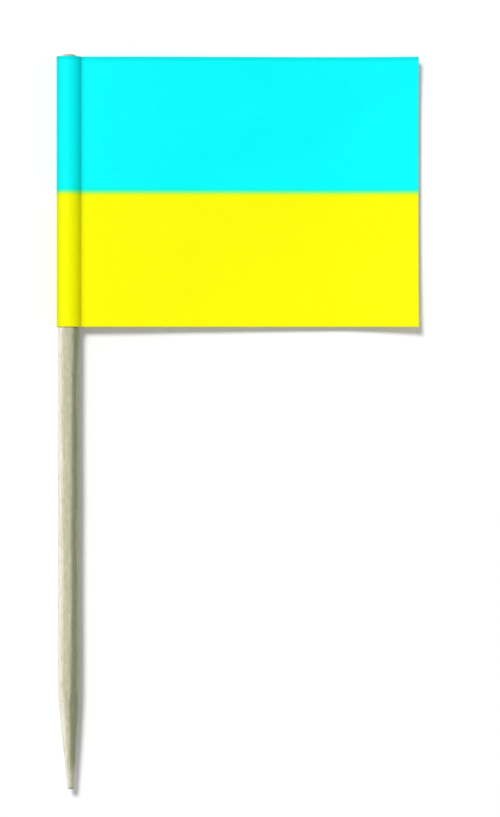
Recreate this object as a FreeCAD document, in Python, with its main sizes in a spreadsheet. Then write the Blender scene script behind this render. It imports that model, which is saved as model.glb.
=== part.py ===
import FreeCAD, Part
import math
import os

import Sketcher
from FreeCAD import Placement, Rotation, Vector

# A flag toothpick: a round wooden pick with a sheet of printed paper folded round its upper part
# and glued to itself. It lies as it comes to rest: on the paper loop round the pick and on the
# flag's free edge. +Y runs to the pick's head, +X to the free edge and +Z up. The origin is on the
# surface that it lies on, under the middle of its outline.

# Driving sizes, in millimetres.
SIZES = {
    # Pick, from the crown of its head to the end of its point.
    "pick_length": 68.0,
    "pick_radius": 1.0,
    # The pick thins by this much in radius from below the flag up to its head.
    "head_taper": 0.03,
    # Height of the domed crown, and the rounding where the dome meets the side.
    "crown_height": 0.3,
    "crown_rounding": 0.15,
    # Ground point: its length, the radius at its blunt end and the rounding of that end.
    "point_length": 9.1,
    "point_end_radius": 0.27,
    "point_rounding": 0.18,
    # Halfway down, the point is this much fuller in radius than a straight cone.
    "point_bulge": 0.035,
    # The point's end stands off the pick's axis, towards the flag's side.
    "point_drift": 0.2,
    # Flag, from the back of its loop to its free edge, and along the pick.
    "flag_width": 33.5,
    "flag_height": 25.0,
    # The crown shows this far above the flag's upper edge.
    "flag_drop": 0.25,
    # The true cylinder of the pick starts this far below the flag's lower edge.
    "shank_start": 0.8,
    "paper_thickness": 0.09,
    # Radius of the printed face where it turns from the loop into a leaf, and how far that turn
    # stands clear of the loop.
    "crease_radius": 0.12,
    "crease_run": 0.02,
    # Dried glue between the pick and the loop, and between the two leaves.
    "loop_glue": 0.02,
    "leaf_glue": 0.03,
    # The glue stops this far short of the paper's cut edges.
    "glue_setback": 0.25,
}

# Distances worked out from the driving sizes, as expressions. Heights are along +Y.
PICK_RADIUS = "Sizes.pick_radius"
HEAD_RADIUS = "(Sizes.pick_radius - Sizes.head_taper)"
END_RADIUS = "Sizes.point_end_radius"
CROWN = "(Sizes.pick_length / 2)"
CROWN_EDGE = f"({CROWN} - Sizes.crown_height)"
FLAG_TOP = f"({CROWN} - Sizes.flag_drop)"
GLUE_TOP = f"({FLAG_TOP} - Sizes.glue_setback)"
SHANK_TOP = f"({FLAG_TOP} - Sizes.flag_height - Sizes.shank_start)"
POINT_END = f"(-{CROWN})"
SHANK_FOOT = f"({POINT_END} + Sizes.point_length)"
LOOP_INSIDE = "(Sizes.pick_radius + Sizes.loop_glue)"
LOOP_OUTSIDE = f"({LOOP_INSIDE} + Sizes.paper_thickness)"
FLAG_THICKNESS = "(2 * Sizes.paper_thickness + Sizes.leaf_glue)"
CREASE_INSIDE = "(Sizes.crease_radius + Sizes.paper_thickness)"
# The free edge's distance from the pick's axis.
REACH = f"(Sizes.flag_width - {LOOP_OUTSIDE})"
# Tilt that brings the free edge down to the surface that the loop lies on.
REST_TILT = (
    f"(asin({LOOP_OUTSIDE} / sqrt({REACH}^2 + ({FLAG_THICKNESS} / 2)^2))"
    f" - atan({FLAG_THICKNESS} / 2 / {REACH}))"
)
# Sideways place of the pick's axis, which puts the middle of the outline on the origin.
REST_SHIFT = (
    f"(({LOOP_OUTSIDE} - {REACH} * cos({REST_TILT})"
    f" - {FLAG_THICKNESS} / 2 * sin({REST_TILT})) / 2)"
)

# A sketch's numbers for the points of an edge, and for its own axes and origin.
START, END, CENTRE = range(1, 4)
UP_AXIS, ACROSS_AXIS = range(-2, 0)
ORIGIN_POINT = (ACROSS_AXIS, START)


def make_sheet(doc):
    """Put the driving sizes in a spreadsheet, one named cell each."""
    sheet = doc.addObject("Spreadsheet::Sheet", "Sizes")
    for row, (name, value) in enumerate(SIZES.items(), start=1):
        sheet.set(f"A{row}", name)
        sheet.set(f"B{row}", str(value))
        sheet.setAlias(f"B{row}", name)
    doc.recompute()


def size(item, expression):
    """Present value of an expression, as an object of the document sees it."""
    value = item.evalExpression(expression)
    return getattr(value, "Value", value)


def new_sketch(body, name, plane_role):
    """Start a sketch on one of the body's own planes."""
    planes = {feature.Role: feature for feature in body.Origin.OriginFeatures}
    sketch = body.newObject("Sketcher::SketchObject", name)
    sketch.AttachmentSupport = [(planes[plane_role], "")]
    sketch.MapMode = "FlatFace"
    return sketch


def new_cross_sketch(body, name, height):
    """Start a sketch across the pick. Its plane faces down the pick, so a height is negated."""
    sketch = new_sketch(body, name, "XZ_Plane")
    sketch.setExpression("AttachmentOffset.Base.z", f"-{height}")
    return sketch


def relate(sketch, *relations):
    """Add relations such as Coincident or Tangent to a sketch."""
    for relation in relations:
        sketch.addConstraint(Sketcher.Constraint(*relation))


def drive(sketch, name, expression, kind, *where):
    """Add a dimension to a sketch and bind it to the sizes."""
    index = sketch.addConstraint(Sketcher.Constraint(kind, *where, size(sketch, expression)))
    sketch.renameConstraint(index, name)
    sketch.setExpression("Constraints." + name, expression)


def pick_profile(body, name):
    """Half outline of the pick without its point: crown, tapered head, straight shank, axis."""
    sketch = new_sketch(body, name, "XY_Plane")
    radius, head_radius = size(sketch, PICK_RADIUS), size(sketch, HEAD_RADIUS)
    crown, crown_edge = size(sketch, CROWN), size(sketch, CROWN_EDGE)
    shank_top, shank_foot = size(sketch, SHANK_TOP), size(sketch, SHANK_FOOT)
    crown_height = crown - crown_edge
    dome_radius = (head_radius**2 + crown_height**2) / (2 * crown_height)
    dome = Part.Circle(Vector(0, crown - dome_radius, 0), Vector(0, 0, 1), dome_radius)
    dome_start = math.acos(head_radius / dome_radius)
    corners = [
        Vector(head_radius, crown_edge, 0),
        Vector(radius, shank_top, 0),
        Vector(radius, shank_foot, 0),
        Vector(0, shank_foot, 0),
        Vector(0, crown, 0),
    ]
    dome_arc = sketch.addGeometry(Part.ArcOfCircle(dome, dome_start, math.pi / 2))
    head, shank, foot, axis = [
        sketch.addGeometry(Part.LineSegment(first, second))
        for first, second in zip(corners, corners[1:])
    ]
    relate(
        sketch,
        ("Coincident", dome_arc, START, head, START),
        ("Coincident", head, END, shank, START),
        ("Coincident", shank, END, foot, START),
        ("Coincident", foot, END, axis, START),
        ("Coincident", axis, END, dome_arc, END),
        ("PointOnObject", dome_arc, CENTRE, UP_AXIS),
        ("PointOnObject", axis, END, UP_AXIS),
        ("Vertical", axis),
        ("Vertical", shank),
        ("Horizontal", foot),
    )
    drive(sketch, "crown", CROWN, "DistanceY", *ORIGIN_POINT, axis, END)
    drive(sketch, "crown_edge", CROWN_EDGE, "DistanceY", *ORIGIN_POINT, head, START)
    drive(sketch, "head_radius", HEAD_RADIUS, "DistanceX", *ORIGIN_POINT, head, START)
    drive(sketch, "shank_radius", PICK_RADIUS, "DistanceX", *ORIGIN_POINT, shank, START)
    drive(sketch, "shank_top", SHANK_TOP, "DistanceY", *ORIGIN_POINT, shank, START)
    drive(sketch, "shank_foot", SHANK_FOOT, "DistanceY", *ORIGIN_POINT, shank, END)
    return sketch


def round_section(body, name, height, radius, shift):
    """A circle across the pick, moved sideways from its axis."""
    sketch = new_cross_sketch(body, name, height)
    centre = Vector(size(sketch, shift), 0, 0)
    circle = sketch.addGeometry(Part.Circle(centre, Vector(0, 0, 1), size(sketch, radius)))
    relate(sketch, ("PointOnObject", circle, CENTRE, ACROSS_AXIS))
    drive(sketch, "shift", shift, "DistanceX", *ORIGIN_POINT, circle, CENTRE)
    drive(sketch, "radius", radius, "Radius", circle)
    return sketch


def rounding(body, name, base, height, edge_radius, radius):
    """Round the ring edge that the last feature has at a height and radius."""
    place = (size(base, height), size(base, edge_radius))

    def miss(edge):
        return abs(edge.Curve.Center.y - place[0]) + abs(edge.Curve.Radius - place[1])

    rings = [
        (miss(edge), f"Edge{number}")
        for number, edge in enumerate(base.Shape.Edges, start=1)
        if not edge.Degenerated and isinstance(edge.Curve, Part.Circle)
    ]
    fillet = body.newObject("PartDesign::Fillet", name)
    fillet.Base = (base, [min(rings)[1]])
    fillet.setExpression("Radius", radius)
    body.Document.recompute()
    return fillet


def make_toothpick(doc):
    """The wooden pick: domed head, turned shank and a ground point that leans a little."""
    body = doc.addObject("PartDesign::Body", "Toothpick")
    body.Label = "toothpick"
    turned = body.newObject("PartDesign::Revolution", "TurnedShank")
    turned.Profile = pick_profile(body, "ShankProfile")
    turned.ReferenceAxis = (turned.Profile[0], ["V_Axis"])
    turned.Angle = 360

    drift = "Sizes.point_drift"
    middle_height = f"(({SHANK_FOOT} + {POINT_END}) / 2)"
    middle_radius = f"(({PICK_RADIUS} + {END_RADIUS}) / 2 + Sizes.point_bulge)"
    shoulder = round_section(body, "PointShoulder", SHANK_FOOT, PICK_RADIUS, "0")
    middle = round_section(body, "PointMiddle", middle_height, middle_radius, f"({drift} / 2)")
    end = round_section(body, "PointEnd", POINT_END, END_RADIUS, drift)
    point = body.newObject("PartDesign::AdditiveLoft", "GroundPoint")
    point.Profile = shoulder
    point.Sections = [middle, end]
    doc.recompute()

    crown = rounding(
        body, "CrownRounding", point, CROWN_EDGE, HEAD_RADIUS, "Sizes.crown_rounding"
    )
    # The blunt end stays a little flat, however small it is.
    end_rounding = f"min(Sizes.point_rounding; 0.9 * {END_RADIUS})"
    body.Tip = rounding(body, "PointRounding", crown, POINT_END, END_RADIUS, end_rounding)
    body.Placement = Placement(Vector(0, 0, 0), Rotation(Vector(0, 1, 0), 1.0))
    body.setExpression("Placement.Rotation.Angle", REST_TILT)
    body.setExpression("Placement.Base.x", REST_SHIFT)
    body.setExpression("Placement.Base.z", LOOP_OUTSIDE)
    return body


def folded_outline(body, name, height, loop_radius, gap, crease_radius, reach):
    """Closed outline of one face of the folded sheet.

    It goes round the pick as an arc, comes down two flanks that leave the arc at a tangent,
    turns at two creases and runs out as two level lines, a gap apart, to where it is closed.
    """
    sketch = new_cross_sketch(body, name, height)
    loop, turn, far = size(sketch, loop_radius), size(sketch, crease_radius), size(sketch, reach)
    half_gap = size(sketch, gap) / 2
    crease_place = f"({loop_radius} + {crease_radius} + Sizes.crease_run)"
    turn_centre = Vector(size(sketch, crease_place), half_gap + turn, 0)
    slope = math.asin((loop + turn) / turn_centre.Length)
    slope -= math.atan2(turn_centre.y, turn_centre.x)
    outward = Vector(math.sin(slope), math.cos(slope), 0)

    def mirror(point):
        return Vector(point.x, -point.y, 0)

    def arc(centre, radius, first, last):
        circle = Part.Circle(centre, Vector(0, 0, 1), radius)
        return sketch.addGeometry(Part.ArcOfCircle(circle, first, last))

    def line(first, last):
        return sketch.addGeometry(Part.LineSegment(first, last))

    quarter = math.pi / 2
    flank_start, flank_end = outward * loop, turn_centre - outward * turn
    leaf_start, leaf_end = Vector(turn_centre.x, half_gap, 0), Vector(far, half_gap, 0)
    around = arc(Vector(0, 0, 0), loop, quarter - slope, 3 * quarter + slope)
    flank = line(flank_start, flank_end)
    crease = arc(turn_centre, turn, 3 * quarter - slope, 3 * quarter)
    leaf = line(leaf_start, leaf_end)
    close = line(leaf_end, mirror(leaf_end))
    low_leaf = line(mirror(leaf_end), mirror(leaf_start))
    low_crease = arc(mirror(turn_centre), turn, quarter, quarter + slope)
    low_flank = line(mirror(flank_end), mirror(flank_start))
    relate(
        sketch,
        ("Coincident", around, CENTRE, *ORIGIN_POINT),
        ("Tangent", around, START, flank, START),
        ("Tangent", flank, END, crease, START),
        ("Tangent", crease, END, leaf, START),
        ("Coincident", leaf, END, close, START),
        ("Coincident", close, END, low_leaf, START),
        ("Tangent", low_leaf, END, low_crease, START),
        ("Tangent", low_crease, END, low_flank, START),
        ("Tangent", low_flank, END, around, END),
        ("Horizontal", leaf),
        ("Horizontal", low_leaf),
        ("Symmetric", close, START, close, END, ACROSS_AXIS),
        ("Equal", crease, low_crease),
        ("Equal", leaf, low_leaf),
    )
    drive(sketch, "loop_radius", loop_radius, "Radius", around)
    drive(sketch, "crease_radius", crease_radius, "Radius", crease)
    drive(sketch, "crease_place", crease_place, "DistanceX", *ORIGIN_POINT, crease, CENTRE)
    drive(sketch, "gap", gap, "DistanceY", close, END, close, START)
    drive(sketch, "reach", reach, "DistanceX", *ORIGIN_POINT, close, START)
    return sketch


def printed_face(body, name, height, reach):
    """Outline of the sheet's outer, printed face."""
    crease = "Sizes.crease_radius"
    return folded_outline(body, name, height, LOOP_OUTSIDE, FLAG_THICKNESS, crease, reach)


def glued_face(body, name, height, reach):
    """Outline of the sheet's inner face, one paper thickness inside the printed one."""
    gap = "Sizes.leaf_glue"
    return folded_outline(body, name, height, LOOP_INSIDE, gap, CREASE_INSIDE, reach)


def must_be_smaller(after, before):
    """Stop if a cut took nothing away."""
    if after.Shape.Volume >= before.Shape.Volume:
        raise RuntimeError(f"{after.Name} cuts nothing")


def make_paper_flag(doc, toothpick):
    """One sheet folded round the pick: what its printed face encloses, less its glued face."""
    body = doc.addObject("PartDesign::Body", "PaperFlag")
    body.Label = "paper_flag"
    outside = body.newObject("PartDesign::Pad", "FlagOutside")
    outside.Profile = printed_face(body, "PrintedFace", FLAG_TOP, REACH)
    outside.setExpression("Length", "Sizes.flag_height")
    doc.recompute()
    inside = body.newObject("PartDesign::Pocket", "FlagInside")
    inside.Profile = glued_face(body, "GluedFace", FLAG_TOP, "Sizes.flag_width")
    inside.setExpression("Length", "Sizes.flag_height")
    inside.Reversed = True
    body.Tip = inside
    body.setExpression("Placement", f"{toothpick.Name}.Placement")
    doc.recompute()
    must_be_smaller(inside, outside)
    return body


def make_glue_film(doc, toothpick):
    """Dried glue: what the sheet's glued face encloses, short of the cut edges, less the pick."""
    body = doc.addObject("PartDesign::Body", "GlueFilm")
    body.Label = "glue_film"
    filled = body.newObject("PartDesign::Pad", "GlueFilled")
    filled.Profile = glued_face(body, "GlueOutline", GLUE_TOP, f"({REACH} - Sizes.glue_setback)")
    filled.setExpression("Length", "Sizes.flag_height - 2 * Sizes.glue_setback")
    doc.recompute()
    hole = body.newObject("PartDesign::Groove", "PickHole")
    hole.Profile = pick_profile(body, "PickHoleProfile")
    hole.ReferenceAxis = (hole.Profile[0], ["V_Axis"])
    hole.Angle = 360
    body.Tip = hole
    body.setExpression("Placement", f"{toothpick.Name}.Placement")
    doc.recompute()
    must_be_smaller(hole, filled)
    return body


def check(doc, subparts):
    """Stop at a failed feature or sketch, or at a sub-part that isn't one valid solid."""
    for item in doc.Objects:
        if "Invalid" in item.State or "Error" in item.State:
            raise RuntimeError(f"{item.Name} failed: {item.State}")
        if item.TypeId == "Sketcher::SketchObject" and not item.FullyConstrained:
            raise RuntimeError(f"{item.Name} isn't fully constrained")
    for subpart in subparts:
        shape = subpart.Shape
        if shape.isNull() or not shape.isValid() or len(shape.Solids) != 1:
            raise RuntimeError(f"{subpart.Label} isn't one valid solid")


def main():
    doc = FreeCAD.newDocument("FlagToothpick")
    make_sheet(doc)
    toothpick = make_toothpick(doc)
    subparts = [
        toothpick,
        make_paper_flag(doc, toothpick),
        make_glue_film(doc, toothpick),
    ]
    doc.recompute()
    check(doc, subparts)
    os.makedirs("parts", exist_ok=True)
    for subpart in subparts:
        subpart.Shape.exportStep(f"parts/{subpart.Label}.step")
        print(f"{subpart.Label}: {subpart.Shape.Volume:.4f} mm3")


main()
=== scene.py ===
import math

import bmesh
import bpy
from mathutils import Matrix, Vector


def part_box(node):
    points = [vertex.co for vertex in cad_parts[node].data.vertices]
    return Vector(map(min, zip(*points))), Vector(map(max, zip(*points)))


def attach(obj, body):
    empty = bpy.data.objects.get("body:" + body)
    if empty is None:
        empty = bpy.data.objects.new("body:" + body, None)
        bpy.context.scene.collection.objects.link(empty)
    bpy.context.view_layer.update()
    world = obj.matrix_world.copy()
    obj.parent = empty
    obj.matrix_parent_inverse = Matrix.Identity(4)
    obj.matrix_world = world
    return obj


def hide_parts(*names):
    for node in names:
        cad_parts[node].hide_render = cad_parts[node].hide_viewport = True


# A flag toothpick at rest: +Y runs to the pick's head, +X to the flag's free edge and +Z up. The
# camera looks straight down on it. Lengths are in metres.

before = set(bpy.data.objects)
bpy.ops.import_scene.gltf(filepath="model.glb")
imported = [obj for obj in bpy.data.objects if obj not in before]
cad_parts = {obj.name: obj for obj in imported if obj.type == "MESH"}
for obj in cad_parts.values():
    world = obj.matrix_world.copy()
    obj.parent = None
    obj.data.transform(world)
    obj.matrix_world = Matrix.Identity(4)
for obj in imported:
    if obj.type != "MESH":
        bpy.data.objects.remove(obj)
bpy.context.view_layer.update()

MM = 0.001

# The pick, as its CAD solid has it. Heights are along +Y.
PICK_RADIUS = 1.0 * MM
HEAD_RADIUS = 0.97 * MM
CROWN = 34.0 * MM
CROWN_HEIGHT = 0.3 * MM
CROWN_ROUNDING = 0.15 * MM
SHANK_TOP = 7.95 * MM
SHANK_FOOT = -24.9 * MM
POINT_END = -34.0 * MM
POINT_END_RADIUS = 0.27 * MM
POINT_ROUNDING = 0.18 * MM
POINT_BULGE = 0.035 * MM
# The point was ground off centre, by this much at its end.
POINT_DRIFT = 0.2 * MM
# The blunt end bulges by a hair, so that the rings close on its middle.
BLUNT_BULGE = 0.005 * MM

# The flag, as its CAD solid has it.
FLAG_TOP = 33.75 * MM
FLAG_HEIGHT = 25.0 * MM
FLAG_BOTTOM = FLAG_TOP - FLAG_HEIGHT
FLAG_WIDTH = 33.5 * MM
PAPER = 0.09 * MM
LOOP_GLUE = 0.02 * MM
LEAF_GLUE = 0.03 * MM
GLUE_SETBACK = 0.25 * MM
CREASE_RADIUS = 0.12 * MM
CREASE_RUN = 0.02 * MM
LOOP_OUTSIDE = PICK_RADIUS + LOOP_GLUE + PAPER
REACH = FLAG_WIDTH - LOOP_OUTSIDE
HALF_FLAG = PAPER + LEAF_GLUE / 2
# The lower leaf falls this short of the upper one, as a hand-folded sheet's does.
LEAF_MISMATCH = 0.12 * MM

# Middle of the turn from the loop into a leaf, and the angle at which the loop ends.
CREASE_PLACE = LOOP_OUTSIDE + CREASE_RADIUS + CREASE_RUN
CREASE_CENTRE = Vector((CREASE_PLACE, HALF_FLAG + CREASE_RADIUS))
LOOP_END_ANGLE = math.atan2(CREASE_CENTRE.y, CREASE_CENTRE.x) + math.acos(
    (LOOP_OUTSIDE + CREASE_RADIUS) / CREASE_CENTRE.length
)

# The flat sheet: its width, where each leaf starts beside the loop, and the back of the loop.
SHEET_WIDTH = 69.07 * MM - LEAF_MISMATCH
CREASE_LINES = (31.03 * MM, 37.8 * MM)
LOOP_BACK = sum(CREASE_LINES) / 2

# The pick's axis at rest, and the tilt at which straight leaves lie on the floor with their edge.
pick_low, pick_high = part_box("toothpick")
AXIS_PLACE = Vector((pick_low.x + PICK_RADIUS, 0, (pick_low.z + pick_high.z) / 2))
REST_TILT = math.asin(LOOP_OUTSIDE / math.hypot(REACH, HALF_FLAG)) - math.atan(HALF_FLAG / REACH)

# How finely each piece is divided.
LOOP_STEPS = 32
FLANK_STEPS = 4
CREASE_STEPS = 9
LEAF_STEPS = 88
SHEET_ROWS = 86
GLUE_ROWS = 60
DOME_STEPS = 14
RIM_STEPS = 9
SHANK_STEPS = 350
POINT_STEPS = 80
BLUNT_STEPS = 8
PICK_SIDES = 120
# A leaf's columns lie closer together towards its crease, by this power.
LEAF_CROWDING = 1.25
# Width of the last faces at the sheet's cut edges, which the shading rounds.
EDGE_ROW = 0.025 * MM
# Points nearer to each other than this are one.
SAME_PLACE = 1e-7

# The loose fibres of the wood: how far below the flag they start, how steeply they leave the wood
# and how far they lean to a side, for each unit of their length, and their thin end and shortest
# length as shares. None stands where the wood faces down by more than the lowest normal.
FIBRES_BELOW_FLAG = 1.5 * MM
FIBRE_RISE = 0.13
FIBRE_LEAN = 0.12
FIBRE_THIN_END = 0.2
FIBRE_SHORTEST = 0.35
FIBRE_LOWEST_NORMAL = -0.2

# The print. The two colours meet at half the sheet's height. Each ink reaches a little past that
# line, so that no white shows there, its edge is soft, and it creeps along the paper's fibres.
CYAN_INK = (0.0, 0.98, 0.99)
YELLOW_INK = (0.99, 0.98, 0.0)
BOTH_INKS = (0.0, 0.96, 0.0)
COLOUR_SPLIT = FLAG_HEIGHT / 2
INK_OVERLAP = 0.1 * MM
INK_SOFTNESS = 0.4 * MM
INK_CREEP = 0.12 * MM

# Bands of painted shade on the print, along every cut edge, the top edge, the back of the loop and
# the creases: how far from its line each starts to fade, how far from it each ends, and the share
# of the colour that is left at the line.
EDGE_PAINTED_SHADE = (0.02 * MM, 0.1 * MM, 0.88)
TOP_EDGE_PAINTED_SHADE = (0.24 * MM, 0.44 * MM, 0.86)
LOOP_BACK_PAINTED_SHADE = (0.55 * MM, 1.15 * MM, 0.8)
CREASE_PAINTED_SHADE = (0.05 * MM, 0.38 * MM, 0.85)

# Paper. Its fibres run up the sheet in two layers. Each layer has a turn, which gives it a pattern
# of its own, and its fibres' width per length.
PAPER_WHITE = (0.88, 0.87, 0.83)
FIBRE_LAYERS = ((0.5, 0.16), (-0.7, 0.2))

# Wood. The growth rings cross the pick along +X, turned towards +Z, drift a little over its length
# and close up towards the point, to this share of their spacing. Places are across the pick.
# The rings are partly painted light and shade. The pale wood lies on the -X side, towards the key lamp,
# as painted light, and the dark ring lies on the +X side, away from it, as painted shade.
PALE_WOOD_AND_PAINTED_LIGHT = (0.87, 0.835, 0.705)
TAN_WOOD = (0.53, 0.515, 0.36)
LATE_WOOD_AND_PAINTED_SHADE = (0.25, 0.275, 0.165)
PORE_WOOD = (0.2, 0.2, 0.13)
RING_TURN = math.radians(6)
RING_DRIFT = 0.002
POINT_RINGS = 0.36
TAN_RING_AND_SHADE = (-0.75 * MM, -0.15 * MM)
LATE_RING_AND_SHADE = (0.25 * MM, 0.62 * MM)
LATE_RING_AND_SHADE_END = (0.8 * MM, 0.95 * MM)

CLEAR_GLUE = (0.93, 0.92, 0.87)
CLOUDY_GLUE = (0.84, 0.82, 0.73)

# Stage. The lamp's share is what it gives an upward face, of full light, and its spread is in
# degrees.
KEY_TOWARDS = (-0.36, 0.62, 1.0)
KEY_SHARE = 0.66
KEY_SPREAD = 18
SKY_LIGHT = 0.34
WHITE = (1.0, 1.0, 1.0, 1.0)
FLOOR_GREY = (0.9, 0.9, 0.9, 1.0)
FLOOR_GLOW = 0.12
FLOOR_HALF = 1.6

# The photograph's frame: its height in pixels, the size of one, and the frame's middle.
PHOTO_HEIGHT = 817
PIXEL = 0.0925 * MM
FRAME_MIDDLE = (1.155 * MM, 1.2025 * MM)
CAMERA_LENS = 200
CAMERA_SENSOR = 36
CAMERA_CLIP_START = 0.01


# Objects and node trees

def add_object(name, data):
    """An object of the scene, at the origin."""
    made = bpy.data.objects.new(name, data)
    bpy.context.scene.collection.objects.link(made)
    return made


def place(tree, kind, inputs=None, **settings):
    """Adds a node. Each input is a value or another node's output, under its name or number."""
    node = tree.nodes.new(kind)
    for name, value in settings.items():
        setattr(node, name, value)
    for key, value in (inputs or {}).items():
        if isinstance(value, bpy.types.NodeSocket):
            tree.links.new(value, node.inputs[key])
        else:
            node.inputs[key].default_value = value
    return node


def calc(tree, operation, *values, clamp=False):
    """The output of a Math node."""
    return place(tree, "ShaderNodeMath", dict(enumerate(values)), operation=operation,
                 use_clamp=clamp).outputs[0]


def total(tree, first, *others):
    """The sum of several values."""
    for other in others:
        first = calc(tree, "ADD", first, other)
    return first


def times(tree, first, *others):
    """The product of several values."""
    for other in others:
        first = calc(tree, "MULTIPLY", first, other)
    return first


def minus(tree, first, second):
    """The difference of two values."""
    return calc(tree, "SUBTRACT", first, second)


def swing(tree, value, middle, size):
    """How far value is from middle, times size."""
    return times(tree, minus(tree, value, middle), size)


def shifted(tree, start, *shifts):
    """start, moved by each shift: a mask and the distance for where it is 1."""
    return total(tree, start, *(times(tree, mask, distance) for mask, distance in shifts))


def calc_vector(tree, operation, *values):
    """The output of a Vector Math node."""
    return place(tree, "ShaderNodeVectorMath", dict(enumerate(values)), operation=operation).outputs[0]


def remap(tree, value, low, high, to_low=0.0, to_high=1.0, smooth=False):
    """value from low..high to to_low..to_high, held at both ends."""
    kind = "SMOOTHSTEP" if smooth else "LINEAR"
    inputs = {0: value, 1: low, 2: high, 3: to_low, 4: to_high}
    return place(tree, "ShaderNodeMapRange", inputs, interpolation_type=kind).outputs[0]


def split(tree, vector):
    """The X, Y and Z of a vector."""
    return place(tree, "ShaderNodeSeparateXYZ", {0: vector}).outputs


def join(tree, **parts):
    """A vector from its X, Y and Z, of which those left out are 0."""
    return place(tree, "ShaderNodeCombineXYZ", parts).outputs[0]


def stretched_noise(tree, position, width, length, detail=2.0, offset=0.0):
    """Noise whose spots have that width across the pick and that length along it.

    Another offset gives another pattern.
    """
    scaled = calc_vector(tree, "MULTIPLY", position, (1 / width, 1 / length, 1 / width))
    moved = calc_vector(tree, "ADD", scaled, (offset,) * 3)
    noise = place(tree, "ShaderNodeTexNoise", {"Vector": moved, "Scale": 1.0, "Detail": detail})
    return noise.outputs["Fac"]


def new_group(name, kind, inputs, outputs):
    """A node group with named inputs (label, socket, value) and outputs (label, socket)."""
    tree = bpy.data.node_groups.new(name, kind)
    for label, socket, value in inputs:
        made = tree.interface.new_socket(label, in_out="INPUT", socket_type=socket)
        if value is not None:
            made.default_value = value
    for label, socket in outputs:
        tree.interface.new_socket(label, in_out="OUTPUT", socket_type=socket)
    return tree, place(tree, "NodeGroupInput").outputs, place(tree, "NodeGroupOutput")


def put_out(tree, end, **values):
    """Links the group's outputs."""
    for name, socket in values.items():
        tree.links.new(socket, end.inputs[name])


def close_tree(tree, geometry, material, end):
    """The last nodes of each tree that makes a piece."""
    real = place(tree, "GeometryNodeRealizeInstances", {0: geometry}).outputs[0]
    smooth = place(tree, "GeometryNodeSetShadeSmooth", {0: real}).outputs[0]
    dressed = place(tree, "GeometryNodeSetMaterial", {"Geometry": smooth, "Material": material})
    put_out(tree, end, Geometry=dressed.outputs[0])


def make_piece(name, guide, tree, material):
    """The mesh that a Geometry Nodes tree makes from a guide, as a piece of its own."""
    modifier = guide.modifiers.new(name, "NODES")
    modifier.node_group = tree
    for item in tree.interface.items_tree:
        if item.in_out == "INPUT" and item.name == "Material":
            modifier[item.identifier] = material
    graph = bpy.context.evaluated_depsgraph_get()
    mesh = bpy.data.meshes.new_from_object(
        guide.evaluated_get(graph), preserve_all_data_layers=True, depsgraph=graph
    )
    mesh.name = name
    # A mesh that starts in nodes has an empty first slot.
    if mesh.materials[0] is None:
        mesh.materials.pop(index=0)
    bpy.data.objects.remove(guide)
    return add_object(name, mesh)


def make_guide(name, points, radii=None):
    """An open poly curve through points."""
    data = bpy.data.curves.new(name, "CURVE")
    data.dimensions = "3D"
    spline = data.splines.new("POLY")
    spline.points.add(len(points) - 1)
    for index, point in enumerate(points):
        spline.points[index].co = (*point, 1)
        if radii:
            spline.points[index].radius = radii[index]
    return add_object(name, data)


# Geometry Nodes: the folded sheet, and how the leaves bend and lie

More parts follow.
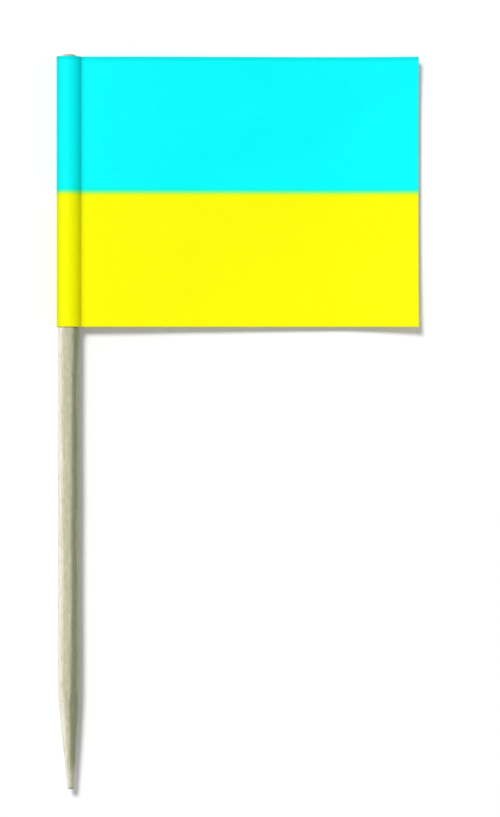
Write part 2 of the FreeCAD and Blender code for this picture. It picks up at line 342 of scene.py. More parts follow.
def rest_bend_group():
    """Bends the two leaves as paper does once its glue is dry, and lays them at rest.

    Rest Place and Cockle Start are shares of the way to the free edge, and Low Place is a share of
    the way up that edge. Landing is the power by which the leaves come down to the floor.
    """
    tree, given, end = new_group(
        "Bend and lay at rest",
        "GeometryNodeTree",
        [
            ("Geometry", "NodeSocketGeometry", None),
            ("Leaf Start", "NodeSocketFloat", CREASE_PLACE),
            ("Leaf End", "NodeSocketFloat", REACH),
            ("Bottom", "NodeSocketFloat", FLAG_BOTTOM),
            ("Top", "NodeSocketFloat", FLAG_TOP),
            ("Leaf Drop", "NodeSocketFloat", (REACH - CREASE_PLACE) * math.sin(REST_TILT)),
            ("Rest Place", "NodeSocketFloat", 0.76),
            ("Landing", "NodeSocketFloat", 1.3),
            ("Arch", "NodeSocketFloat", 0.2 * MM),
            ("Bottom Arch", "NodeSocketFloat", 0.5),
            ("Cockle", "NodeSocketFloat", 0.09 * MM),
            ("Cockle Size", "NodeSocketFloat", 8.0 * MM),
            ("Cockle Start", "NodeSocketFloat", 0.3),
            ("Cockle Pattern", "NodeSocketVector", (0.31, 0.17, 0.0)),
            ("Edge Lift", "NodeSocketFloat", 0.52 * MM),
            ("Low Place", "NodeSocketFloat", 0.56),
            ("Corner Lift", "NodeSocketFloat", 0.55 * MM),
            ("Tilt", "NodeSocketFloat", REST_TILT),
            ("Axis Place", "NodeSocketVector", AXIS_PLACE),
        ],
        [("Geometry", "NodeSocketGeometry")],
    )
    parts = split(tree, place(tree, "GeometryNodeInputPosition").outputs[0])
    along = remap(tree, parts["X"], given["Leaf Start"], given["Leaf End"])
    up = remap(tree, parts["Y"], given["Bottom"], given["Top"])
    # The leaves reach the floor a little before their free edge, which curls up from there.
    to_rest = remap(tree, along, 0.0, given["Rest Place"])
    still_to_go = minus(tree, 1.0, to_rest)
    height = calc(tree, "POWER", still_to_go, given["Landing"])
    sink = times(tree, minus(tree, height, minus(tree, 1.0, along)), given["Leaf Drop"])
    after_rest = remap(tree, along, given["Rest Place"], 1.0)
    curl = times(tree, after_rest, after_rest, given["Edge Lift"])
    # The arch is highest a third of the way to the rest place, where 27 / 4 makes it 1.
    arch = times(tree, to_rest, still_to_go, still_to_go, 27 / 4)
    arch = times(tree, arch, remap(tree, up, 0.0, 1.0, given["Bottom Arch"], 1.0), given["Arch"])
    flat = join(tree, X=parts["X"], Y=parts["Y"])
    noise = place(tree, "ShaderNodeTexNoise", {
        "Vector": calc_vector(tree, "ADD", flat, given["Cockle Pattern"]),
        "Scale": calc(tree, "DIVIDE", 1.0, given["Cockle Size"]),
        "Detail": 1.0,
    })
    waves = times(tree, remap(tree, noise.outputs["Fac"], 0.35, 0.75), given["Cockle"])
    waves = times(tree, waves, remap(tree, along, 0.0, given["Cockle Start"], smooth=True))
    # The corners rise on both sides of the edge's low place.
    from_low = minus(tree, calc(tree, "DIVIDE", up, given["Low Place"]), 1.0)
    corners = times(tree, from_low, from_low, along, given["Corner Lift"])
    lift = total(tree, arch, waves, curl, corners, sink)
    bent = place(tree, "GeometryNodeSetPosition", {
        "Geometry": given["Geometry"],
        "Offset": join(tree, Z=lift),
    })
    turn = place(tree, "FunctionNodeEulerToRotation", {0: join(tree, Y=given["Tilt"])})
    laid = place(tree, "GeometryNodeTransform", {
        "Geometry": bent.outputs[0],
        "Translation": given["Axis Place"],
        "Rotation": turn.outputs[0],
    })
    put_out(tree, end, Geometry=laid.outputs[0])
    return tree


def lay(tree, rest_bend, geometry):
    """geometry, bent and laid at rest."""
    group = place(tree, "GeometryNodeGroup", node_tree=rest_bend)
    tree.links.new(geometry, group.inputs["Geometry"])
    return group.outputs[0]


def fold_tree(rest_bend):
    """Folds a flat sheet along a guide that shows the fold from its end."""
    tree, given, end = new_group(
        "Fold a sheet",
        "GeometryNodeTree",
        [
            ("Geometry", "NodeSocketGeometry", None),
            ("Bottom", "NodeSocketFloat", FLAG_BOTTOM),
            ("Height", "NodeSocketFloat", FLAG_HEIGHT),
            ("Rows", "NodeSocketInt", SHEET_ROWS),
            ("Edge Row", "NodeSocketFloat", EDGE_ROW),
            ("Material", "NodeSocketMaterial", None),
        ],
        [("Geometry", "NodeSocketGeometry")],
    )
    guide = given["Geometry"]
    guide_size = place(tree, "GeometryNodeAttributeDomainSize", {0: guide}, component="CURVE")
    columns = guide_size.outputs["Point Count"]
    grid = place(tree, "GeometryNodeMeshGrid", {
        "Size X": 1.0,
        "Size Y": given["Height"],
        "Vertices X": columns,
        "Vertices Y": given["Rows"],
    }).outputs["Mesh"]
    position = place(tree, "GeometryNodeInputPosition").outputs[0]
    flat = split(tree, position)
    column = times(tree, total(tree, flat["X"], 0.5), minus(tree, columns, 1.0))
    column = calc(tree, "ROUND", column)
    # The rows are even but for the second and the last but one, which lie close to the cut edges.
    row = total(tree, calc(tree, "DIVIDE", flat["Y"], given["Height"]), 0.5)
    row = times(tree, row, minus(tree, given["Rows"], 1.0))
    inner_rows = minus(tree, given["Rows"], 3.0)
    inner_height = minus(tree, given["Height"], times(tree, given["Edge Row"], 2.0))
    edge_share = times(tree, given["Edge Row"], calc(tree, "DIVIDE", inner_rows, inner_height))
    first_row = minus(tree, 1.0, edge_share)
    last_row = total(tree, inner_rows, 1.0, edge_share)
    upward = remap(tree, row, first_row, last_row, 0.0, given["Height"])

    def on_guide(value, kind):
        """A value of the guide at the sheet's column."""
        inputs = {"Geometry": guide, "Value": value, "Index": column}
        sample = place(tree, "GeometryNodeSampleIndex", inputs, data_type=kind, domain="POINT")
        return sample.outputs[0]

    across = on_guide(place(tree, "GeometryNodeSplineParameter").outputs["Length"], "FLOAT")
    sheet_place = {"Geometry": grid, "Name": "sheet", "Value": join(tree, X=across, Y=upward)}
    marked = place(
        tree, "GeometryNodeStoreNamedAttribute", sheet_place, data_type="FLOAT2", domain="CORNER"
    )
    folded = split(tree, on_guide(position, "FLOAT_VECTOR"))
    shaped = place(tree, "GeometryNodeSetPosition", {
        "Geometry": marked.outputs[0],
        "Position": join(tree, X=folded["X"], Y=total(tree, upward, given["Bottom"]), Z=folded["Z"]),
    })
    close_tree(tree, lay(tree, rest_bend, shaped.outputs[0]), given["Material"], end)
    return tree


def lay_tree(rest_bend):
    """Bends and lays a mesh that was made flat."""
    tree, given, end = new_group(
        "Lay a flat mesh",
        "GeometryNodeTree",
        [("Geometry", "NodeSocketGeometry", None), ("Material", "NodeSocketMaterial", None)],
        [("Geometry", "NodeSocketGeometry")],
    )
    close_tree(tree, lay(tree, rest_bend, given["Geometry"]), given["Material"], end)
    return tree


# Geometry Nodes: the pick

def raised_wood(tree, given, position, height):
    """How far the wood stands out: its grain, an uneven shank, a torn point and a cut head."""
    grain = stretched_noise(tree, position, width=0.22 * MM, length=7 * MM)
    grain = swing(tree, grain, 0.62, given["Grain Height"])
    uneven = stretched_noise(tree, position, width=1.6 * MM, length=9 * MM, detail=1.0, offset=3.7)
    uneven = swing(tree, uneven, 0.5, given["Unevenness"])
    bare = calc(tree, "LESS_THAN", height, FLAG_BOTTOM)
    torn = stretched_noise(tree, position, width=0.2 * MM, length=1.3 * MM, detail=3.0, offset=8.1)
    torn = swing(tree, torn, 0.5, given["Point Roughness"])
    point = remap(tree, height, SHANK_FOOT + 1.5 * MM, SHANK_FOOT - 2 * MM, smooth=True)
    cut = stretched_noise(tree, position, width=0.16 * MM, length=0.16 * MM, offset=5.3)
    cut = swing(tree, cut, 0.6, given["Head Roughness"])
    head = remap(tree, height, CROWN - 0.42 * MM, CROWN - 0.12 * MM, smooth=True)
    return shifted(tree, grain, (bare, uneven), (point, torn), (head, cut))


def loose_fibres(tree, given, wood, height):
    """Thin cones that leave the wood at a low angle, towards the point."""
    facing = split(tree, place(tree, "GeometryNodeInputNormal").outputs[0])["Z"]
    below_flag = calc(tree, "LESS_THAN", height, FLAG_BOTTOM - FIBRES_BELOW_FLAG)
    spots = place(tree, "GeometryNodeDistributePointsOnFaces", {
        "Mesh": wood,
        "Selection": times(tree, below_flag, calc(tree, "GREATER_THAN", facing, FIBRE_LOWEST_NORMAL)),
        "Density": given["Fibres per Area"],
        "Seed": given["Seed"],
    })
    fibre = place(tree, "GeometryNodeMeshCone", {
        "Vertices": given["Fibre Sides"],
        "Radius Top": times(tree, given["Fibre Thickness"], FIBRE_THIN_END),
        "Radius Bottom": given["Fibre Thickness"],
        "Depth": given["Fibre Length"],
    })
    lean = place(tree, "FunctionNodeRandomValue", {
        "Min": (-FIBRE_LEAN, 0.0, -FIBRE_LEAN),
        "Max": (FIBRE_LEAN, 0.0, FIBRE_LEAN),
        "Seed": given["Seed"],
    }, data_type="FLOAT_VECTOR").outputs[0]
    rise = calc_vector(tree, "MULTIPLY", spots.outputs["Normal"], (FIBRE_RISE,) * 3)
    direction = calc_vector(tree, "ADD", calc_vector(tree, "ADD", rise, lean), (0.0, -1.0, 0.0))
    turn = place(tree, "FunctionNodeAlignRotationToVector", {"Vector": direction}, axis="Z")
    length = place(tree, "FunctionNodeRandomValue", {
        2: FIBRE_SHORTEST,
        3: 1.0,
        "Seed": total(tree, given["Seed"], 1.0),
    }, data_type="FLOAT").outputs[1]
    return place(tree, "GeometryNodeInstanceOnPoints", {
        "Points": spots.outputs["Points"],
        "Instance": fibre.outputs["Mesh"],
        "Rotation": turn.outputs[0],
        "Scale": join(tree, X=1.0, Y=1.0, Z=length),
    }).outputs[0]


def pick_tree():
    """Turns the pick from its guide, raises its grain and adds the loose fibres."""
    tree, given, end = new_group(
        "Turn the pick",
        "GeometryNodeTree",
        [
            ("Geometry", "NodeSocketGeometry", None),
            ("Sides", "NodeSocketInt", PICK_SIDES),
            ("Grain Height", "NodeSocketFloat", 0.016 * MM),
            ("Unevenness", "NodeSocketFloat", 0.05 * MM),
            ("Point Roughness", "NodeSocketFloat", 0.05 * MM),
            ("Head Roughness", "NodeSocketFloat", 0.045 * MM),
            ("Fibres per Area", "NodeSocketFloat", 9.0e4),
            ("Fibre Sides", "NodeSocketInt", 5),
            ("Fibre Length", "NodeSocketFloat", 0.8 * MM),
            ("Fibre Thickness", "NodeSocketFloat", 0.022 * MM),
            ("Seed", "NodeSocketInt", 7),
            ("Axis Place", "NodeSocketVector", AXIS_PLACE),
            ("Material", "NodeSocketMaterial", None),
        ],
        [("Geometry", "NodeSocketGeometry")],
    )
    ring = place(tree, "GeometryNodeCurvePrimitiveCircle", {
        "Resolution": given["Sides"],
        "Radius": 1.0,
    })
    turned = place(tree, "GeometryNodeCurveToMesh", {
        "Curve": given["Geometry"],
        "Profile Curve": ring.outputs["Curve"],
        "Scale": place(tree, "GeometryNodeInputRadius").outputs[0],
    })
    closed = place(tree, "GeometryNodeMergeByDistance", {
        "Geometry": turned.outputs[0],
        "Distance": SAME_PLACE,
    })
    position = place(tree, "GeometryNodeInputPosition").outputs[0]
    height = split(tree, position)["Y"]
    raised = raised_wood(tree, given, position, height)
    normal = place(tree, "GeometryNodeInputNormal").outputs[0]
    grained = place(tree, "GeometryNodeSetPosition", {
        "Geometry": closed.outputs[0],
        "Offset": calc_vector(tree, "MULTIPLY", normal, join(tree, X=raised, Y=raised, Z=raised)),
    }).outputs[0]
    both = place(tree, "GeometryNodeJoinGeometry")
    tree.links.new(loose_fibres(tree, given, grained, height), both.inputs[0])
    tree.links.new(grained, both.inputs[0])
    laid = place(tree, "GeometryNodeTransform", {
        "Geometry": both.outputs[0],
        "Translation": given["Axis Place"],
    })
    close_tree(tree, laid.outputs[0], given["Material"], end)
    return tree


# Shapes that the trees follow

def spaced(start, end, steps):
    """steps + 1 numbers from start to end."""
    return [start + (end - start) * step / steps for step in range(steps + 1)]


def leaf_places(end):
    """Distances from the pick's axis along a leaf, close together beside its crease and at its end."""
    last = end - EDGE_ROW
    places = [
        CREASE_PLACE + (last - CREASE_PLACE) * (step / LEAF_STEPS) ** LEAF_CROWDING
        for step in range(1, LEAF_STEPS + 1)
    ]
    return places + [end]


def half_fold(depth, end):
    """Half of the folded sheet seen from its end, depth inside its printed face.

    It runs from the back of the loop over its upper half and out to the free edge.
    """
    loop = LOOP_OUTSIDE - depth
    crease = CREASE_RADIUS + depth
    points = [
        Vector((loop * math.cos(angle), loop * math.sin(angle)))
        for angle in spaced(math.pi, LOOP_END_ANGLE, LOOP_STEPS)
    ]
    loop_end = points[-1]
    crease_start = CREASE_CENTRE - crease * loop_end.normalized()
    points += [loop_end.lerp(crease_start, step / FLANK_STEPS) for step in range(1, FLANK_STEPS)]
    points += [
        CREASE_CENTRE + crease * Vector((math.cos(angle), math.sin(angle)))
        for angle in spaced(LOOP_END_ANGLE + math.pi, 1.5 * math.pi, CREASE_STEPS)
    ]
    points += [Vector((reach, HALF_FLAG - depth)) for reach in leaf_places(end)]
    return points


def make_fold_guide():
    """The whole fold, from the lower leaf's free edge round the loop to the upper leaf's."""
    upper = half_fold(PAPER / 2, REACH)
    lower = half_fold(PAPER / 2, REACH - LEAF_MISMATCH)
    points = [(point.x, 0, -point.y) for point in reversed(lower[1:])]
    points += [(point.x, 0, point.y) for point in upper]
    return make_guide("fold_guide", points)


def pick_radius_at(height):
    """Radius of the pick between its crown's rounding and its blunt end."""
    if height >= SHANK_TOP:
        share = (height - SHANK_TOP) / (CROWN - CROWN_HEIGHT - SHANK_TOP)
        return PICK_RADIUS + (HEAD_RADIUS - PICK_RADIUS) * share
    if height >= SHANK_FOOT:
        return PICK_RADIUS
    share = (height - SHANK_FOOT) / (POINT_END - SHANK_FOOT)
    cone = PICK_RADIUS + (POINT_END_RADIUS - PICK_RADIUS) * share
    return cone + POINT_BULGE * 4 * share * (1 - share)


def pick_drift_at(height):
    """Sideways place of the pick's middle."""
    return POINT_DRIFT * max(0.0, (height - SHANK_FOOT) / (POINT_END - SHANK_FOOT))


def make_pick_guide():
    """The pick's middle line, with the radius of each ring, from the crown to the blunt end."""
    dome = (HEAD_RADIUS ** 2 + CROWN_HEIGHT ** 2) / (2 * CROWN_HEIGHT)
    dome_centre = CROWN - dome
    rim_place = HEAD_RADIUS - CROWN_ROUNDING
    rim_height = dome_centre + math.sqrt((dome - CROWN_ROUNDING) ** 2 - rim_place ** 2)
    dome_end = math.asin(rim_place / (dome - CROWN_ROUNDING))
    rings = []
    for angle in spaced(0, dome_end, DOME_STEPS):
        rings.append((dome_centre + dome * math.cos(angle), dome * math.sin(angle)))
    for angle in spaced(dome_end, math.pi / 2, RIM_STEPS)[1:]:
        rings.append((rim_height + CROWN_ROUNDING * math.cos(angle),
                      rim_place + CROWN_ROUNDING * math.sin(angle)))
    blunt_height = POINT_END + POINT_ROUNDING
    heights = spaced(rim_height, SHANK_FOOT, SHANK_STEPS)[1:]
    heights += spaced(SHANK_FOOT, blunt_height, POINT_STEPS)[1:]
    rings += [(height, pick_radius_at(height)) for height in heights]
    blunt_middle = pick_radius_at(blunt_height) - POINT_ROUNDING
    for angle in spaced(0, math.pi / 2, BLUNT_STEPS)[1:]:
        rings.append((blunt_height - POINT_ROUNDING * math.sin(angle),
                      blunt_middle + POINT_ROUNDING * math.cos(angle)))
    rings += [(POINT_END - 0.8 * BLUNT_BULGE, blunt_middle / 2), (POINT_END - BLUNT_BULGE, 0.0)]
    points = [(pick_drift_at(height), height, 0) for height, _ in rings]
    return make_guide("pick_guide", points, [radius for _, radius in rings])


def glue_section():
    """The glue seen from the sheet's end: each outer point, and the angle of its inner one.

    An inner point lies on the pick at that angle, or without one on the film's middle line.
    """
    outside = half_fold(PAPER, REACH - GLUE_SETBACK)
    leaf_start = len(outside) - len(leaf_places(REACH))
    section = []
    for index, point in enumerate(outside):
        if index <= LOOP_STEPS:
            angle = math.atan2(point.y, point.x)
        elif index < leaf_start:
            share = (index - LOOP_STEPS) / (leaf_start - LOOP_STEPS - 1)
            angle = LOOP_END_ANGLE * (1 - share)
        else:
            angle = None
        section.append((point, angle))
    return section


def make_flat_glue():
    """The glue round the pick and between the leaves, as a closed mesh, unbent."""
    section = glue_section()
    rows = spaced(FLAG_BOTTOM + GLUE_SETBACK, FLAG_TOP - GLUE_SETBACK, GLUE_ROWS)
    vertices, index_of = [], {}

    def vertex(row, kind, index, side):
        """The number of one vertex, made when it is first asked for."""
        outer, angle = section[index]
        # These lie on the middle plane, where both sides share them.
        if index == 0 or (kind == "inner" and not angle):
            side = 0
        key = (row, kind, index, side)
        if key not in index_of:
            if kind == "outer" or angle is None:
                across, up = outer.x, outer.y
            else:
                radius = pick_radius_at(rows[row])
                across, up = radius * math.cos(angle), radius * math.sin(angle)
            index_of[key] = len(vertices)
            vertices.append((across, rows[row], up * side))
        return index_of[key]

    faces = []

    def face(side, *corners):
        """A face through four corners, each with its row, kind and index."""
        faces.append([vertex(*corner, side) for corner in corners])

    last = len(section) - 1
    for side in (1, -1):
        for index in range(last):
            after = index + 1
            for row in (0, GLUE_ROWS):
                face(side, (row, "inner", index), (row, "inner", after),
                     (row, "outer", after), (row, "outer", index))
            # Between the leaves both sides are one film, so an inner wall is only round the pick.
            kinds = ("outer",) if section[after][1] is None else ("outer", "inner")
            for row in range(GLUE_ROWS):
                for kind in kinds:
                    face(side, (row, kind, index), (row, kind, after),
                         (row + 1, kind, after), (row + 1, kind, index))
        for row in range(GLUE_ROWS):
            face(side, (row, "inner", last), (row, "outer", last),
                 (row + 1, "outer", last), (row + 1, "inner", last))
    mesh = bpy.data.meshes.new("flat_glue")
    mesh.from_pydata(vertices, [], faces)
    mesh.validate()
    shape = bmesh.new()
    shape.from_mesh(mesh)
    bmesh.ops.recalc_face_normals(shape, faces=shape.faces)
    shape.to_mesh(mesh)
    shape.free()
    return add_object("flat_glue", mesh)


# Materials

def paper_fibre_group():
    """Felted fibres of a sheet: their relief, and the cloudy tone of their density."""
    tree, given, end = new_group(
        "Paper fibres",
        "ShaderNodeTree",
        [
            ("Vector", "NodeSocketVector", None),
            ("Fibre Width", "NodeSocketFloat", 0.05 * MM),
            ("Cloud Size", "NodeSocketFloat", 1.1 * MM),
        ],
        [("Height", "NodeSocketFloat"), ("Tone", "NodeSocketFloat")],
    )
    fine = calc(tree, "DIVIDE", 1.0, given["Fibre Width"])
    layers = []
    for turn, slimness in FIBRE_LAYERS:
        # The mapping scales before it turns, so the fibres of both layers stay upright.
        turned = place(tree, "ShaderNodeMapping", {
            "Vector": given["Vector"],
            "Rotation": (0.0, 0.0, turn),
            "Scale": (1.0, slimness, 1.0),
        })
        layers.append(place(tree, "ShaderNodeTexNoise", {
            "Vector": turned.outputs[0],
            "Scale": fine,
            "Detail": 2.0,
            "Distortion": 0.6,
        }).outputs["Fac"])
    height = calc(tree, "MAXIMUM", *layers)
    clouds = place(tree, "ShaderNodeTexNoise", {
        "Vector": given["Vector"],
        "Scale": calc(tree, "DIVIDE", 1.0, given["Cloud Size"]),
        "Detail": 3.0,
        "Roughness": 0.6,
    }).outputs["Fac"]
    tone = total(tree, times(tree, clouds, 0.65), times(tree, height, 0.35))
    put_out(tree, end, Height=height, Tone=tone)
    return tree


def new_material(name, **plain):
    """A material with its shader, whose plain values are set on the shader itself."""
    material = bpy.data.materials.new(name)
    material.use_nodes = True
    tree = material.node_tree
    shader = tree.nodes["Principled BSDF"]
    for key, value in plain.items():
        shader.inputs[key.replace("_", " ")].default_value = value
    return material, tree, shader


def mix_colours(tree, factor, first, second):
    """first where factor is 0 and second where it is 1."""
    node = place(tree, "ShaderNodeMix", {0: factor}, data_type="RGBA")
    for key, colour in ((6, first), (7, second)):
        if isinstance(colour, bpy.types.NodeSocket):
            tree.links.new(colour, node.inputs[key])
        else:
            node.inputs[key].default_value = (*colour, 1.0)
    return node.outputs[2]


def dress(tree, shader, colour, tone, roughness):
    """Gives the shader a colour, times a tone that changes over the surface, and a roughness."""
    toned = place(tree, "ShaderNodeVectorMath", {0: colour, "Scale": tone}, operation="SCALE")
    tree.links.new(toned.outputs[0], shader.inputs["Base Color"])
    tree.links.new(roughness, shader.inputs["Roughness"])


def add_bump(tree, shader, height, distance, strength):
    """Relief of that height, in metres, on the shader's normal."""
    bump = place(tree, "ShaderNodeBump", {"Height": height, "Distance": distance, "Strength": strength})
    tree.links.new(bump.outputs[0], shader.inputs["Normal"])


def sheet_fibres(tree, group, vector, width):
    """Places the fibre group on one paper material."""
    node = place(tree, "ShaderNodeGroup", node_tree=group)
    tree.links.new(vector, node.inputs["Vector"])
    node.inputs["Fibre Width"].default_value = width
    return node.outputs


def sheet_uv(tree):
    """Where a point is on the flat sheet."""
    return place(tree, "ShaderNodeUVMap", uv_map="sheet").outputs[0]


def object_place(tree):
    """Where a point is in the object."""
    return place(tree, "ShaderNodeTexCoord").outputs["Object"]


def ink_colour(tree, up, fibre_height):
    """Cyan over yellow, with both inks on the line where they meet."""
    border = total(tree, up, swing(tree, fibre_height, 0.5, INK_CREEP))
    edges = []
    for middle in (COLOUR_SPLIT - INK_OVERLAP, COLOUR_SPLIT + INK_OVERLAP):
        edges.append(remap(tree, border, middle - INK_SOFTNESS, middle + INK_SOFTNESS, smooth=True))
    cyan, no_yellow = edges
    return mix_colours(tree, no_yellow, mix_colours(tree, cyan, YELLOW_INK, BOTH_INKS), CYAN_INK)


def painted_print_shade(tree, flat):
    """Share of the print's colour left under the painted shade along its edges, the back of the loop
    and the creases.
    """
    from_top = minus(tree, FLAG_HEIGHT, flat["Y"])
    from_ends = calc(tree, "MINIMUM", flat["Y"], from_top)
    from_sides = calc(tree, "MINIMUM", flat["X"], minus(tree, SHEET_WIDTH, flat["X"]))
    from_edge = calc(tree, "MINIMUM", from_ends, from_sides)
    from_back = calc(tree, "ABSOLUTE", minus(tree, flat["X"], LOOP_BACK))
    from_crease = calc(tree, "MINIMUM", *(
        calc(tree, "ABSOLUTE", minus(tree, flat["X"], line)) for line in CREASE_LINES
    ))
    # Painted shade darkens the print along every cut edge, more widely along the top edge and the back
    # of the loop, and along the creases.
    bands = (
        (from_edge, EDGE_PAINTED_SHADE),
        (from_top, TOP_EDGE_PAINTED_SHADE),
        (from_back, LOOP_BACK_PAINTED_SHADE),
        (from_crease, CREASE_PAINTED_SHADE),
    )
    return times(tree, *(
        remap(tree, distance, start, stop, left, 1.0, smooth=True)
        for distance, (start, stop, left) in bands
    ))


def printed_paper(fibres):
    """The sheet's outer face: two plain fields of ink, split at half its height."""
    material, tree, shader = new_material("Printed paper", Specular_IOR_Level=0.08)
    uv = sheet_uv(tree)
    fibre = sheet_fibres(tree, fibres, uv, width=0.05 * MM)
    flat = split(tree, uv)
    tone = remap(tree, fibre["Tone"], 0.25, 0.75, 0.985, 1.01)
    # The ink lies thinner on the raised fibres.
    thin_ink = remap(tree, fibre["Height"], 0.4, 0.72, 0.97, 1.03)
    # The print is darkened by painted shade along its edges, the back of the loop and the creases.
    tone = times(tree, tone, thin_ink, painted_print_shade(tree, flat))
    roughness = remap(tree, fibre["Tone"], 0.3, 0.7, 0.7, 0.55)
    dress(tree, shader, ink_colour(tree, flat["Y"], fibre["Height"]), tone, roughness)
    add_bump(tree, shader, fibre["Height"], distance=0.012 * MM, strength=0.5)
    return material


def bare_paper(fibres):
    """The sheet's inner face."""
    material, tree, shader = new_material("Bare paper", Specular_IOR_Level=0.2)
    fibre = sheet_fibres(tree, fibres, sheet_uv(tree), width=0.06 * MM)
    tone = remap(tree, fibre["Tone"], 0.25, 0.75, 0.94, 1.03)
    dress(tree, shader, PAPER_WHITE, tone, remap(tree, fibre["Height"], 0.3, 0.7, 0.9, 0.75))
    add_bump(tree, shader, fibre["Height"], distance=0.01 * MM, strength=0.7)
    return material


def cut_edge(fibres):
    """The sheet's cut edges, where its white core shows."""
    material, tree, shader = new_material("Cut paper edge", Specular_IOR_Level=0.15)
    fibre = sheet_fibres(tree, fibres, object_place(tree), width=0.03 * MM)
    tone = remap(tree, fibre["Height"], 0.3, 0.7, 0.86, 1.04)
    dress(tree, shader, PAPER_WHITE, tone, remap(tree, fibre["Tone"], 0.3, 0.7, 0.95, 0.8))
    add_bump(tree, shader, fibre["Height"], distance=0.012 * MM, strength=0.8)
    return material


def ring_and_shade_place(tree, centred, height):
    """Place across the growth rings, which follow the drift of the point and waver a little. It runs
    along +X, away from the key lamp, so it also places the painted light and shade.
    """
    turned = place(tree, "ShaderNodeMapping", {
        "Vector": centred,
        "Rotation": (0.0, RING_TURN, RING_DRIFT),
    }).outputs[0]
    across = split(tree, turned)["X"]
    across = minus(tree, across, remap(tree, height, SHANK_FOOT, POINT_END, 0.0, POINT_DRIFT))
    spacing = remap(tree, height, SHANK_FOOT, POINT_END, 1.0, POINT_RINGS)
    across = calc(tree, "DIVIDE", across, spacing)
    warp = stretched_noise(tree, turned, width=0.9 * MM, length=7 * MM, offset=2.3)
    return total(tree, across, swing(tree, warp, 0.5, 0.4 * MM))


def ring_colours_and_painted_shade(tree, across, height, head_end, uneven):
    """Pale sapwood, then a brown ring, then a narrow dark ring: growth rings, and also painted light
    and shade, with the pale wood towards the key lamp and the dark ring away from it.

    At the ground point and the rounded head the dark ring is broad, as painted shade on their sides
    away from the lamp, and at the point the pale wood is broad, as painted light.
    """
    point = remap(tree, height, SHANK_FOOT + 1.0 * MM, SHANK_FOOT - 1.5 * MM, smooth=True)
    tan = remap(tree, shifted(tree, across, (point, -0.2 * MM)), *TAN_RING_AND_SHADE, smooth=True)
    colour = mix_colours(tree, calc(tree, "ADD", tan, uneven, clamp=True), PALE_WOOD_AND_PAINTED_LIGHT, TAN_WOOD)
    # The dark ring is broadened at the point and the head as painted shade on their sides away from the
    # lamp.
    late_and_shade_start = shifted(tree, across, (point, 0.14 * MM), (head_end, 0.22 * MM))
    late_and_shade_end = shifted(tree, across, (point, -0.1 * MM), (head_end, -0.15 * MM))
    late_and_shade = times(tree, remap(tree, late_and_shade_start, *LATE_RING_AND_SHADE, smooth=True),
                 remap(tree, late_and_shade_end, *LATE_RING_AND_SHADE_END, 0.97, 0.2, smooth=True))
    late_and_shade = calc(tree, "ADD", late_and_shade, times(tree, uneven, 0.5), clamp=True)
    colour = mix_colours(tree, late_and_shade, colour, LATE_WOOD_AND_PAINTED_SHADE)
    # The fibres of the thin end are bruised and open, so it is paler.
    bruised = remap(tree, height, POINT_END + 2.7 * MM, POINT_END + 1.0 * MM, 0.0, 0.38, smooth=True)
    return mix_colours(tree, bruised, colour, PALE_WOOD_AND_PAINTED_LIGHT)


def pick_wood():
    """Pale birch: growth rings, with painted light on the side towards the key lamp and painted shade
    on the side away from it, long fibres, short open pores and darker end grain.
    """
    material, tree, shader = new_material("Birch wood", Specular_IOR_Level=0.25)
    centred = calc_vector(tree, "SUBTRACT", object_place(tree), tuple(AXIS_PLACE))
    height = split(tree, centred)["Y"]
    head_end = remap(tree, height, CROWN - 0.35 * MM, CROWN - 0.12 * MM)
    point_end = remap(tree, height, POINT_END + 0.3 * MM, POINT_END)
    ends = calc(tree, "MAXIMUM", head_end, point_end)
    streaks = stretched_noise(tree, centred, width=0.14 * MM, length=4 * MM, detail=3.0)
    flecks = stretched_noise(tree, centred, width=0.3 * MM, length=0.7 * MM, offset=6.0)
    uneven = total(tree, swing(tree, streaks, 0.5, 0.6), swing(tree, flecks, 0.5, 0.75))
    colour = ring_colours_and_painted_shade(tree, ring_and_shade_place(tree, centred, height), height, head_end, uneven)
    pores = stretched_noise(tree, centred, width=0.055 * MM, length=0.9 * MM, detail=1.0, offset=9.0)
    open_pores = remap(tree, pores, 0.68, 0.76)
    colour = mix_colours(tree, times(tree, open_pores, 0.55), colour, PORE_WOOD)
    # The ends show the fibres cut across, as darker dots.
    dots = stretched_noise(tree, centred, width=0.06 * MM, length=0.6 * MM, detail=1.0, offset=4.0)
    end_tone = remap(tree, dots, 0.35, 0.65, 0.92, 0.66)
    tone = total(tree, swing(tree, end_tone, 1.0, ends), 1.0)
    fine = stretched_noise(tree, centred, width=0.03 * MM, length=1.6 * MM, detail=1.0, offset=12.0)
    tone = times(tree, tone, remap(tree, fine, 0.3, 0.7, 0.93, 1.05))
    roughness = shifted(tree, remap(tree, streaks, 0.3, 0.7, 0.48, 0.64), (ends, 0.25))
    dress(tree, shader, colour, tone, roughness)
    relief = shifted(tree, streaks, (fine, 0.3), (open_pores, -0.8))
    add_bump(tree, shader, relief, distance=0.012 * MM, strength=0.6)
    return material


def dried_glue():
    """Clear white paper glue once dry: slightly cloudy, with fine bubbles."""
    material, tree, shader = new_material("Dried glue", Specular_IOR_Level=0.5, IOR=1.46)
    at = object_place(tree)
    clouds = place(tree, "ShaderNodeTexNoise", {"Vector": at, "Scale": 1 / (0.5 * MM), "Detail": 3.0})
    clouds = clouds.outputs["Fac"]
    bubbles = place(tree, "ShaderNodeTexVoronoi", {"Vector": at, "Scale": 1 / (0.12 * MM)})
    between_bubbles = remap(tree, bubbles.outputs["Distance"], 0.12, 0.3)
    colour = mix_colours(tree, clouds, CLEAR_GLUE, CLOUDY_GLUE)
    tone = remap(tree, between_bubbles, 0.0, 1.0, 0.9, 1.0)
    dress(tree, shader, colour, tone, remap(tree, clouds, 0.3, 0.7, 0.25, 0.45))
    add_bump(tree, shader, between_bubbles, distance=0.01 * MM, strength=0.4)
    return material


# Stage and camera

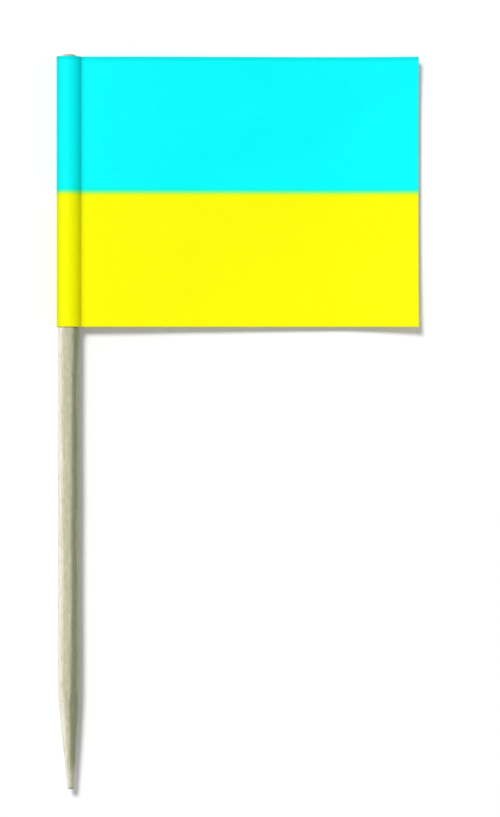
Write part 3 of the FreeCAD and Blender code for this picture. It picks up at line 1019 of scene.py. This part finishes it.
def background_rays(tree):
    """1 for the rays that show the background: straight, mirrored and through glass."""
    rays = place(tree, "ShaderNodeLightPath").outputs
    indirect = calc(tree, "MAXIMUM", rays["Is Glossy Ray"], rays["Is Transmission Ray"])
    return calc(tree, "MAXIMUM", rays["Is Camera Ray"], indirect)


def pale_floor():
    """A matte white floor that keeps the object's shadow and can be looked through from below."""
    material, tree, shader = new_material(
        "Pale floor",
        Base_Color=FLOOR_GREY,
        Roughness=1.0,
        Specular_IOR_Level=0.0,
        Emission_Color=WHITE,
    )
    tree.links.new(times(tree, background_rays(tree), FLOOR_GLOW), shader.inputs["Emission Strength"])
    clear = place(tree, "ShaderNodeBsdfTransparent").outputs[0]
    to_camera = place(tree, "ShaderNodeLightPath").outputs["Is Camera Ray"]
    below = times(tree, to_camera, place(tree, "ShaderNodeNewGeometry").outputs["Backfacing"])
    mixed = place(tree, "ShaderNodeMixShader", {0: below, 1: shader.outputs[0], 2: clear})
    tree.links.new(mixed.outputs[0], tree.nodes["Material Output"].inputs["Surface"])
    mesh = bpy.data.meshes.new("floor")
    corners = ((-1, -1), (1, -1), (1, 1), (-1, 1))
    mesh.from_pydata([(x * FLOOR_HALF, y * FLOOR_HALF, 0) for x, y in corners], [], [(0, 1, 2, 3)])
    mesh.materials.append(material)
    floor = add_object("floor", mesh)


def plain_sky():
    """Even light from all round, and white where it is looked at."""
    world = bpy.data.worlds.new("Plain sky")
    bpy.context.scene.world = world
    world.use_nodes = True
    tree = world.node_tree
    back = tree.nodes["Background"]
    back.inputs["Color"].default_value = WHITE
    strength = remap(tree, background_rays(tree), 0.0, 1.0, SKY_LIGHT, 1.0)
    tree.links.new(strength, back.inputs["Strength"])


def add_sun(name, towards, share, spread):
    """A lamp in the direction towards, which lights an upward face by share of full light."""
    direction = Vector(towards).normalized()
    data = bpy.data.lights.new(name, "SUN")
    data.energy = share * math.pi / direction.z
    data.angle = math.radians(spread)
    lamp = add_object(name, data)
    lamp.rotation_euler = direction.to_track_quat("Z", "Y").to_euler()


def add_camera():
    """Straight above, with the photograph's frame."""
    data = bpy.data.cameras.new("camera")
    data.lens = CAMERA_LENS
    data.sensor_width = CAMERA_SENSOR
    data.clip_start = CAMERA_CLIP_START
    distance = data.lens / data.sensor_width * PHOTO_HEIGHT * PIXEL
    camera = add_object("camera", data)
    camera.location = (*FRAME_MIDDLE, AXIS_PLACE.z + distance)
    bpy.context.scene.camera = camera


# The pieces

def make_flag(rest_bend):
    """The folded sheet, with its printed outer face, its bare inner face and its cut edges."""
    fibres = paper_fibre_group()
    flag = make_piece("folded_flag", make_fold_guide(), fold_tree(rest_bend), printed_paper(fibres))
    flag.data.materials.append(bare_paper(fibres))
    flag.data.materials.append(cut_edge(fibres))
    wall = flag.modifiers.new("paper", "SOLIDIFY")
    wall.thickness = PAPER
    wall.offset = 0
    wall.use_even_offset = True
    wall.material_offset = 1
    wall.material_offset_rim = 2
    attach(flag, "root")
    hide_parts("paper_flag")


def make_pick():
    """The turned pick."""
    pick = make_piece("turned_pick", make_pick_guide(), pick_tree(), pick_wood())
    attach(pick, "root")
    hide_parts("toothpick")


def make_glue(rest_bend):
    """The dried glue, bent with the sheet."""
    glue = make_piece("glue_layer", make_flat_glue(), lay_tree(rest_bend), dried_glue())
    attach(glue, "root")
    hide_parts("glue_film")


def main():
    """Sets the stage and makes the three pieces."""
    bpy.context.scene.view_settings.view_transform = "Standard"
    add_camera()
    pale_floor()
    plain_sky()
    add_sun("key lamp", KEY_TOWARDS, KEY_SHARE, KEY_SPREAD)

    rest_bend = rest_bend_group()
    make_flag(rest_bend)
    make_pick()
    make_glue(rest_bend)


main()
